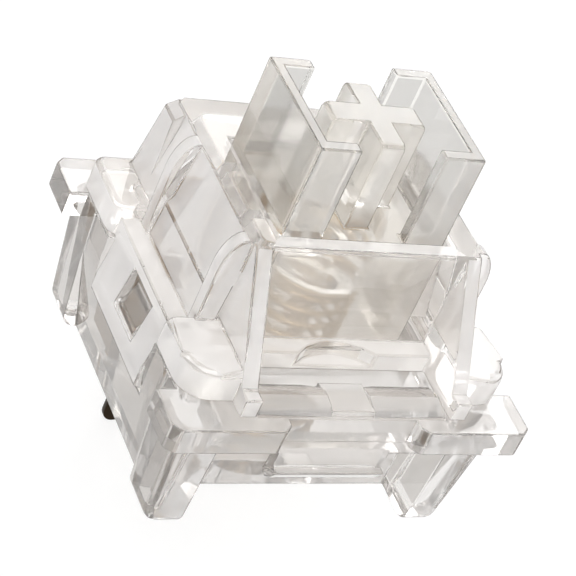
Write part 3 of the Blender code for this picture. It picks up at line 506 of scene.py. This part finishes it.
def soften(bm, width, materials, finish):
    """Rounds every edge that turns, and less where a face is narrow and wherever the rounding would
    fold over."""
    long_edges = [
        edge
        for edge in bm.edges
        if edge.calc_face_angle(0.0) > ROUNDED_FROM and edge.calc_length() > LONG_EDGE
    ]
    bmesh.ops.bisect_edges(bm, edges=long_edges, cuts=CUTS_IN_LONG_EDGE)
    weight = bm.edges.layers.float.new("bevel_weight_edge")
    edges = [
        edge
        for edge in bm.edges
        if len(edge.link_faces) == 2 and edge.calc_face_angle(0.0) > ROUNDED_FROM
    ]
    for edge in edges:
        edge[weight] = min(1.0, ROOM_SHARE * room_beside(edge) / width)
    soft = rounded_mesh(bm, width, materials, finish)
    for _ in range(PASSES):
        places = folded_places(soft)
        if not places:
            break
        for edge in edges:
            share = edge[weight]
            reach = (REACH_OF_WHOLE * share + REACH_AT_LEAST) * width
            if any(distance_to_edge(place, edge) < reach for place in places):
                edge[weight] = 0.5 * share if share > SMALLEST_SHARE else 0.0
        soft.free()
        soft = rounded_mesh(bm, width, materials, finish)
    bm.free()
    return soft


def looks_inward(face):
    """Whether a wall's face looks at the switch's axis."""
    centre = face.calc_center_median()
    return face.normal.x * centre.x + face.normal.y * centre.y < 0.0


def is_front_window(face):
    """Whether a face belongs to the wall behind the light recess."""
    centre = face.calc_center_median()
    inside = abs(centre.x) < WINDOW_HALF and WINDOW_FRONT < centre.y < WINDOW_BACK
    return inside and abs(face.normal.y) > SIDEWAYS


def finish_of(node, face):
    """Which of its moulding's finishes a face takes. The extra one is the stem's slider or the side
    walls of the bottom housing, which are darkened with painted shade."""
    if node == "stem" and face.calc_center_median().z < SLIDER_TOP:
        return EXTRA
    # The outer side walls of the bottom housing take a dark tint: painted shade.
    if node == "bottom_housing" and abs(face.normal.x) > SIDEWAYS and not looks_inward(face):
        return EXTRA
    if looks_inward(face) or node == "top_housing" and is_front_window(face):
        return POLISHED
    return MILKY


def flatten_shading(piece):
    """Keeps the shading of broad faces flat and leaves the turn of light to the rounded edges."""
    weigh = piece.modifiers.new("weigh", "WEIGHTED_NORMAL")
    weigh.mode = "FACE_AREA"
    weigh.weight = 100
    weigh.keep_sharp = True
    graph = bpy.context.evaluated_depsgraph_get()
    weighed = bpy.data.meshes.new_from_object(piece.evaluated_get(graph), depsgraph=graph)
    piece.modifiers.remove(weigh)
    piece.data = weighed
    weighed.name = piece.name


def finished(name, bm, materials, body):
    """Makes a piece of the mesh and hangs it on its body."""
    mesh = bpy.data.meshes.new(name)
    bm.to_mesh(mesh)
    bm.free()
    for material in materials:
        mesh.materials.append(material)
    mesh.shade_smooth()
    mesh.set_sharp_from_angle(angle=SMOOTH_BELOW)
    piece = bpy.data.objects.new(name, mesh)
    bpy.context.scene.collection.objects.link(piece)
    flatten_shading(piece)
    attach(piece, body)
    return piece


def stand_in_for(node, name, materials, body, width):
    """A piece with rounded edges in the place of a plain node, in one material or in the finishes
    of a moulding."""
    bm = merged_copy(node)
    if len(materials) == 1:
        bm = soften(bm, width, materials, MILKY)
    else:
        bm = soften(bm, width, materials, EDGES)
        for face in bm.faces:
            if face.material_index == MILKY:
                face.material_index = finish_of(node, face)
    piece = finished(name, bm, materials, body)
    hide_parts(node)
    return piece


# The spring's geometry tree


def spring_tree(material):
    """Winds round wire between two heights, with almost closed turns at both ends."""
    tree = bpy.data.node_groups.new("wound_spring", "GeometryNodeTree")
    tree.interface.new_socket("Geometry", in_out="OUTPUT", socket_type="NodeSocketGeometry")
    sizes = [
        ("Wire", 0.25 * MM),
        ("Coil Radius", 2.0 * MM),
        ("Turns", 12.0),
        ("End Turns", END_TURNS),
        ("Low", 0.0),
        ("High", 7.5 * MM),
    ]
    for label, default in sizes:
        socket = tree.interface.new_socket(label, in_out="INPUT", socket_type="NodeSocketFloat")
        socket.default_value = default
    entry = tree.nodes.new("NodeGroupInput")
    leave = tree.nodes.new("NodeGroupOutput")
    size = entry.outputs

    line = tree.nodes.new("GeometryNodeCurvePrimitiveLine")
    samples = tree.nodes.new("GeometryNodeResampleCurve")
    samples.inputs["Count"].default_value = SPRING_SAMPLES
    link(tree, line.outputs["Curve"], samples.inputs["Curve"])
    share = tree.nodes.new("GeometryNodeSplineParameter").outputs["Factor"]
    turn = math_node(tree, "MULTIPLY", share, size["Turns"])
    angle = math_node(tree, "MULTIPLY", turn, 2 * math.pi)
    closed = math_node(tree, "MULTIPLY", size["Wire"], CLOSED_PITCH)
    first = math_node(tree, "MINIMUM", turn, size["End Turns"])
    open_end = math_node(tree, "SUBTRACT", size["Turns"], size["End Turns"])
    last = math_node(tree, "MAXIMUM", math_node(tree, "SUBTRACT", turn, open_end), 0.0)
    ends = math_node(tree, "ADD", first, last)
    middle = math_node(tree, "SUBTRACT", turn, ends)
    both_ends = math_node(tree, "MULTIPLY", size["End Turns"], 2.0)
    open_turns = math_node(tree, "SUBTRACT", size["Turns"], both_ends)
    span = math_node(tree, "SUBTRACT", size["High"], size["Low"])
    open_span = math_node(tree, "SUBTRACT", span, math_node(tree, "MULTIPLY", both_ends, closed))
    pitch = math_node(tree, "DIVIDE", open_span, open_turns)
    climb = math_node(tree, "MULTIPLY", middle, pitch)
    height = math_node(tree, "ADD", math_node(tree, "MULTIPLY", ends, closed), climb)
    place = tree.nodes.new("ShaderNodeCombineXYZ")
    across = math_node(tree, "MULTIPLY", math_node(tree, "COSINE", angle), size["Coil Radius"])
    along = math_node(tree, "MULTIPLY", math_node(tree, "SINE", angle), size["Coil Radius"])
    link(tree, across, place.inputs["X"])
    link(tree, along, place.inputs["Y"])
    link(tree, math_node(tree, "ADD", height, size["Low"]), place.inputs["Z"])
    wind = tree.nodes.new("GeometryNodeSetPosition")
    link(tree, samples.outputs["Curve"], wind.inputs["Geometry"])
    link(tree, place.outputs["Vector"], wind.inputs["Position"])

    section = tree.nodes.new("GeometryNodeCurvePrimitiveCircle")
    section.inputs["Resolution"].default_value = WIRE_SIDES
    link(tree, math_node(tree, "MULTIPLY", size["Wire"], 0.5), section.inputs["Radius"])
    sweep = tree.nodes.new("GeometryNodeCurveToMesh")
    sweep.inputs["Fill Caps"].default_value = True
    link(tree, wind.outputs["Geometry"], sweep.inputs["Curve"])
    link(tree, section.outputs["Curve"], sweep.inputs["Profile Curve"])
    smooth = tree.nodes.new("GeometryNodeSetShadeSmooth")
    link(tree, sweep.outputs["Mesh"], smooth.inputs["Geometry"])
    real = tree.nodes.new("GeometryNodeRealizeInstances")
    link(tree, smooth.outputs["Geometry"], real.inputs["Geometry"])
    coat = tree.nodes.new("GeometryNodeSetMaterial")
    coat.inputs["Material"].default_value = material
    link(tree, real.outputs["Geometry"], coat.inputs["Geometry"])
    link(tree, coat.outputs["Geometry"], leave.inputs["Geometry"])
    return tree


def wound_spring(settings, material):
    low = SPRING_LOW.z + 0.5 * settings.wire
    high = SPRING_HIGH.z - 0.5 * settings.wire
    mesh = bpy.data.meshes.new("spring_start")
    maker = bpy.data.objects.new("spring_maker", mesh)
    bpy.context.scene.collection.objects.link(maker)
    tree = spring_tree(material)
    modifier = maker.modifiers.new("wind", "NODES")
    modifier.node_group = tree
    values = {
        "Wire": settings.wire,
        "Coil Radius": settings.coil_radius,
        "Turns": float(settings.turns),
        "Low": low,
        "High": high,
    }
    for item in tree.interface.items_tree:
        if item.in_out == "INPUT" and item.name in values:
            modifier[item.identifier] = values[item.name]
    bpy.context.view_layer.update()
    graph = bpy.context.evaluated_depsgraph_get()
    wound = bpy.data.meshes.new_from_object(maker.evaluated_get(graph), depsgraph=graph)
    maker.modifiers.remove(modifier)
    bpy.data.objects.remove(maker)
    wound.name = "coil_spring"
    piece = bpy.data.objects.new("coil_spring", wound)
    bpy.context.scene.collection.objects.link(piece)
    return piece


# Settings


def tint_property(name, description, default):
    return bpy.props.FloatVectorProperty(
        name=name,
        description=description,
        subtype="COLOR",
        size=3,
        min=0.0,
        max=1.0,
        default=default,
    )


def share_property(name, description, default):
    return bpy.props.FloatProperty(
        name=name, description=description, subtype="FACTOR", min=0.0, max=1.0, default=default
    )


def bend_property(name, description, default):
    return bpy.props.FloatProperty(
        name=name, description=description, min=1.0, max=2.0, default=default
    )


def length_property(name, description, default, smallest=0.0, largest=1.0):
    return bpy.props.FloatProperty(
        name=name,
        description=description,
        subtype="DISTANCE",
        unit="LENGTH",
        min=smallest,
        max=largest,
        default=default,
    )


class ClearPlasticSettings(bpy.types.PropertyGroup):
    top_tint: tint_property("Top tint", "Colour of the top housing", (0.99, 0.976, 0.966))
    top_deep: tint_property(
        "Deep top tint", "Its colour where it is smokier", (0.955, 0.94, 0.93)
    )
    # Inner tints are painted shade on the inner faces, darker than the outer tint.
    top_inner: tint_property("Inner top tint", "Colour of its inner faces", (0.96, 0.945, 0.93))
    top_milk: share_property(
        "Top milk", "Share of light that the top housing scatters back", 0.58
    )
    top_bend: bend_property("Top bend", "How strongly the top housing bends light", 1.28)
    bottom_tint: tint_property("Bottom tint", "Colour of the bottom housing", (0.93, 0.915, 0.90))
    bottom_deep: tint_property(
        "Deep bottom tint", "Its colour where it is smokier", (0.86, 0.845, 0.83)
    )
    # Painted shade on the bottom housing's inner faces
    bottom_inner: tint_property(
        "Inner bottom tint", "Colour of its inner faces", (0.82, 0.80, 0.78)
    )
    bottom_milk: share_property(
        "Bottom milk", "Share of light that the bottom housing scatters back", 0.3
    )
    bottom_bend: bend_property("Bottom bend", "How strongly the bottom housing bends light", 1.4)
    # Side tint: painted shade on the outer side walls of the bottom housing
    side_shade_tint: tint_property(
        "Side tint", "Colour of the bottom housing's side walls", (0.46, 0.435, 0.41)
    )
    stem_tint: tint_property("Stem tint", "Colour of the stem", (0.98, 0.97, 0.945))
    stem_deep: tint_property(
        "Deep stem tint", "Its colour where it is smokier", (0.95, 0.935, 0.905)
    )
    # Painted shade on the stem's inner faces
    stem_inner: tint_property("Inner stem tint", "Colour of its inner faces", (0.54, 0.53, 0.515))
    stem_milk: share_property("Stem milk", "Share of light that the stem scatters back", 0.32)
    stem_bend: bend_property("Stem bend", "How strongly the stem bends light", 1.22)
    slider_tint: tint_property(
        "Slider tint", "Colour of the stem below its deck", (0.985, 0.975, 0.945)
    )
    slider_blur: share_property(
        "Slider blur", "How much the slider blurs the spring behind it", 0.2
    )
    inner_milk: share_property(
        "Inner milk", "Share of light that the polished inner faces scatter back", 0.04
    )
    # Edge tone: the share by which painted shade darkens the rounded edges
    line: share_property("Edge tone", "How light the rounded edges are beside the faces", 1.0)
    line_milk: share_property("Edge milk", "Share of light that the edges scatter back", 0.12)
    line_gloss: share_property("Edge gloss", "Strength of the clear reflection on the edges", 0.0)
    haze: share_property("Haze", "How much the surface blurs what is seen through it", 0.03)
    gloss: share_property("Gloss", "Strength of the clear reflection on the surface", 0.5)
    edge: length_property(
        "Edge rounding",
        "Width of the rounding on the edges of the mouldings",
        0.08 * MM,
        0.01 * MM,
        0.2 * MM,
    )


class SpringSettings(bpy.types.PropertyGroup):
    wire: length_property("Wire", "Diameter of the spring's wire", 0.25 * MM)
    coil_radius: length_property(
        "Coil radius", "Radius of the coil at the middle of its wire", 2.0 * MM
    )
    turns: bpy.props.IntProperty(
        name="Turns",
        description="Number of turns, with the closed ones",
        default=12,
        min=4,
        max=24,
    )
    plating: tint_property("Plating", "Colour of the plated spring wire", (0.68, 0.56, 0.40))
    oxide: tint_property("Oxide", "Colour of its darker blotches", (0.5, 0.39, 0.26))


class ContactSettings(bpy.types.PropertyGroup):
    bronze: tint_property("Bronze", "Colour of the contact sheets", (0.55, 0.42, 0.28))
    bronze_oxide: tint_property("Oxide", "Colour of their darker blotches", (0.36, 0.25, 0.15))
    gold: tint_property("Gold", "Colour of the contact studs", (0.86, 0.66, 0.33))
    gold_shade: tint_property("Gold shade", "Colour of their darker blotches", (0.6, 0.4, 0.18))
    edge: length_property(
        "Edge rounding", "Width of the rounding on the edges of the sheets", 0.04 * MM
    )


class StudioSettings(bpy.types.PropertyGroup):
    floor_colour: tint_property("Floor", "Colour of the floor", (0.93, 0.93, 0.93))
    floor_half: length_property("Floor half width", "Half the width of the floor", 0.6)
    key_power: bpy.props.FloatProperty(
        name="Key power",
        description="Power of the main lamp",
        subtype="POWER",
        unit="POWER",
        default=0.19,
    )
    lens: bpy.props.FloatProperty(
        name="Lens",
        description="Focal length on a 36 mm sensor",
        subtype="DISTANCE_CAMERA",
        default=152.27,
    )


SETTINGS = {
    "switch_plastic": ClearPlasticSettings,
    "switch_spring": SpringSettings,
    "switch_contacts": ContactSettings,
    "switch_studio": StudioSettings,
}


# Operators


def dress_moulding(look, part, node, body):
    """Gives a moulding its rounded edges and the finishes set for that part."""
    tints = getattr(look, part + "_tint"), getattr(look, part + "_deep")
    # Painted shade: the inner faces take the darker inner tint.
    inner_shade_tint = getattr(look, part + "_inner")
    milk = getattr(look, part + "_milk")
    bend = getattr(look, part + "_bend")
    finishes = moulding_finishes("clear_" + part, look, tints, inner_shade_tint, milk, bend)
    if part == "stem":
        blur = look.slider_blur
        finishes.append(polished_finish("clear_slider", look, look.slider_tint, bend, blur))
    if part == "bottom":
        # Painted shade on the bottom housing's side walls
        finishes.append(polished_finish("clear_sides", look, look.side_shade_tint, bend))
    stand_in_for(node, "clear_" + node, finishes, body, look.edge)


class SWITCH_OT_bottom_housing(bpy.types.Operator):
    """Makes the clear bottom housing with its flange, legs and clips"""

    bl_idname = "switch.bottom_housing"
    bl_label = "Bottom housing"

    def execute(self, context):
        dress_moulding(context.scene.switch_plastic, "bottom", "bottom_housing", "housing")
        return {"FINISHED"}


class SWITCH_OT_top_housing(bpy.types.Operator):
    """Makes the clear top housing with its tower, ears, ribs and snap loops"""

    bl_idname = "switch.top_housing"
    bl_label = "Top housing"

    def execute(self, context):
        dress_moulding(context.scene.switch_plastic, "top", "top_housing", "housing")
        return {"FINISHED"}


class SWITCH_OT_stem(bpy.types.Operator):
    """Makes the clear stem with its cross and dust walls"""

    bl_idname = "switch.stem"
    bl_label = "Stem"

    def execute(self, context):
        dress_moulding(context.scene.switch_plastic, "stem", "stem", "stem_body")
        return {"FINISHED"}


class SWITCH_OT_spring(bpy.types.Operator):
    """Winds the return spring"""

    bl_idname = "switch.spring"
    bl_label = "Return spring"

    def execute(self, context):
        settings = context.scene.switch_spring
        wire = worked_metal("spring_wire", settings.plating, settings.oxide, 0.3)
        piece = wound_spring(settings, wire)
        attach(piece, "housing")
        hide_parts("return_spring")
        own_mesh(piece)
        return {"FINISHED"}


class SWITCH_OT_contacts(bpy.types.Operator):
    """Makes the stamped contact sheets and their studs"""

    bl_idname = "switch.contacts"
    bl_label = "Contacts"

    def execute(self, context):
        look = context.scene.switch_contacts
        # The contact sheets carry the painted dark reflection below the board's top.
        bronze = worked_metal("stamped_bronze", look.bronze, look.bronze_oxide, 0.3, BOARD)
        gold = worked_metal("contact_gold", look.gold, look.gold_shade, 0.15)
        for node, name in (("moving_contact", "leaf_contact"), ("fixed_contact", "plate_contact")):
            stand_in_for(node, name, [bronze], "housing", look.edge)
        for node in ("moving_contact_point", "fixed_contact_point"):
            name = node.replace("point", "stud")
            stand_in_for(node, name, [gold], "housing", 0.5 * look.edge)
        return {"FINISHED"}


def floor_material(colour):
    """A pale floor that looks white behind the object and still takes its shadow."""
    made = bpy.data.materials.new("studio_floor")
    made.use_nodes = True
    tree = made.node_tree
    shader = tree.nodes["Principled BSDF"]
    shader.inputs["Base Color"].default_value = (*colour, 1.0)
    shader.inputs["Roughness"].default_value = 0.9
    shader.inputs["Specular IOR Level"].default_value = 0.0
    path = tree.nodes.new("ShaderNodeLightPath")
    seen = math_node(tree, "ADD", path.outputs["Is Camera Ray"], path.outputs["Is Glossy Ray"])
    seen = math_node(tree, "ADD", seen, path.outputs["Is Transmission Ray"], clamp=True)
    glow = tree.nodes.new("ShaderNodeEmission")
    glow.inputs["Strength"].default_value = GLOW_STRENGTH
    glowing = math_node(tree, "MULTIPLY", seen, GLOW_SHARE)
    both = mixed_shaders(tree, glowing, shader.outputs["BSDF"], glow.outputs["Emission"])
    link(tree, both, tree.nodes["Material Output"].inputs["Surface"])
    return made


def studio_world():
    """Plain pale light. What plastic and metal reflect is a tent with a few grey panels."""
    world = bpy.data.worlds.new("studio")
    bpy.context.scene.world = world
    world.use_nodes = True
    tree = world.node_tree
    plain = tree.nodes["Background"]
    plain.inputs["Color"].default_value = STUDIO_LIGHT
    plain.inputs["Strength"].default_value = STUDIO_STRENGTH
    path = tree.nodes.new("ShaderNodeLightPath").outputs
    seen = math_node(tree, "ADD", path["Is Glossy Ray"], path["Is Transmission Ray"], clamp=True)
    direction = tree.nodes.new("ShaderNodeTexCoord").outputs["Generated"]
    split = tree.nodes.new("ShaderNodeSeparateXYZ")
    link(tree, direction, split.inputs["Vector"])
    rise = math_node(tree, "MULTIPLY_ADD", split.outputs["Z"], 0.5)
    rise.node.inputs[2].default_value = 0.5
    tent = tree.nodes.new("ShaderNodeBackground")
    link(tree, ramp(tree, rise, TENT_TONES), tent.inputs["Color"])
    tent.inputs["Strength"].default_value = 1.0
    white = tree.nodes.new("ShaderNodeBackground")
    white.inputs["Color"].default_value = (1.0, 1.0, 1.0, 1.0)
    lit = mixed_shaders(tree, seen, plain.outputs["Background"], tent.outputs["Background"])
    whole = mixed_shaders(tree, path["Is Camera Ray"], lit, white.outputs["Background"])
    link(tree, whole, tree.nodes["World Output"].inputs["Surface"])


def soft_lamp(name, place, side, power, colour):
    lamp = bpy.data.lights.new(name, "AREA")
    lamp.shape = "RECTANGLE"
    lamp.size = side
    lamp.size_y = side
    lamp.energy = power
    lamp.color = colour
    holder = bpy.data.objects.new(name, lamp)
    bpy.context.scene.collection.objects.link(holder)
    holder.location = place
    beam = Vector(LAMP_AIM) - Vector(place)
    holder.rotation_euler = beam.to_track_quat("-Z", "Y").to_euler()


def product_camera(lens):
    """The camera at the photograph's place."""
    camera = bpy.data.cameras.new("product_camera")
    camera.sensor_width = 36.0
    camera.lens = lens
    camera.clip_start = 0.005
    camera.clip_end = 10.0
    holder = bpy.data.objects.new("product_camera", camera)
    bpy.context.scene.collection.objects.link(holder)
    forward = Vector(CAMERA_FORWARD).normalized()
    right = forward.cross(Vector(CAMERA_UP)).normalized()
    up = right.cross(forward).normalized()
    turn = Matrix((right, up, -forward)).transposed().to_4x4()
    holder.matrix_world = Matrix.Translation(CAMERA_PLACE) @ turn
    bpy.context.scene.camera = holder


class SWITCH_OT_stage(bpy.types.Operator):
    """Sets the floor, the soft light and the camera"""

    bl_idname = "switch.stage"
    bl_label = "Studio"

    def execute(self, context):
        settings = context.scene.switch_studio
        half = settings.floor_half
        bm = bmesh.new()
        corners = [(-half, -half, 0), (half, -half, 0), (half, half, 0), (-half, half, 0)]
        bm.faces.new([bm.verts.new(corner) for corner in corners])
        mesh = bpy.data.meshes.new("studio_floor")
        bm.to_mesh(mesh)
        bm.free()
        mesh.materials.append(floor_material(settings.floor_colour))
        floor = bpy.data.objects.new("studio_floor", mesh)
        context.scene.collection.objects.link(floor)
        studio_world()
        power = settings.key_power
        soft_lamp("key_lamp", KEY_PLACE, KEY_SIDE, power, KEY_COLOUR)
        soft_lamp("back_lamp", BACK_PLACE, BACK_SIDE, BACK_SHARE * power, BACK_COLOUR)
        product_camera(settings.lens)
        scene = context.scene
        scene.view_settings.view_transform = "Standard"
        scene.cycles.max_bounces = LIGHT_BOUNCES
        scene.cycles.transmission_bounces = LIGHT_BOUNCES
        scene.cycles.glossy_bounces = LIGHT_BOUNCES
        scene.cycles.transparent_max_bounces = CLEAR_BOUNCES
        return {"FINISHED"}


OPERATORS = (
    SWITCH_OT_bottom_housing,
    SWITCH_OT_top_housing,
    SWITCH_OT_stem,
    SWITCH_OT_spring,
    SWITCH_OT_contacts,
    SWITCH_OT_stage,
)


class SWITCH_PT_panel(bpy.types.Panel):
    bl_label = "Clear keyboard switch"
    bl_idname = "SWITCH_PT_panel"
    bl_space_type = "VIEW_3D"
    bl_region_type = "UI"
    bl_category = "Switch"

    def draw(self, context):
        layout = self.layout
        for name, group in SETTINGS.items():
            column = layout.column()
            for label in group.__annotations__:
                column.prop(getattr(context.scene, name), label)
        for operator in OPERATORS:
            layout.operator(operator.bl_idname)


def register():
    for group in SETTINGS.values():
        bpy.utils.register_class(group)
    for operator in OPERATORS:
        bpy.utils.register_class(operator)
    bpy.utils.register_class(SWITCH_PT_panel)
    for name, group in SETTINGS.items():
        setattr(bpy.types.Scene, name, bpy.props.PointerProperty(type=group))


def unregister():
    for name in SETTINGS:
        delattr(bpy.types.Scene, name)
    bpy.utils.unregister_class(SWITCH_PT_panel)
    for operator in reversed(OPERATORS):
        bpy.utils.unregister_class(operator)
    for group in SETTINGS.values():
        bpy.utils.unregister_class(group)


def main():
    register()
    bpy.ops.switch.bottom_housing()
    bpy.ops.switch.top_housing()
    bpy.ops.switch.stem()
    bpy.ops.switch.spring()
    bpy.ops.switch.contacts()
    bpy.ops.switch.stage()


if __name__ == "__main__":
    main()
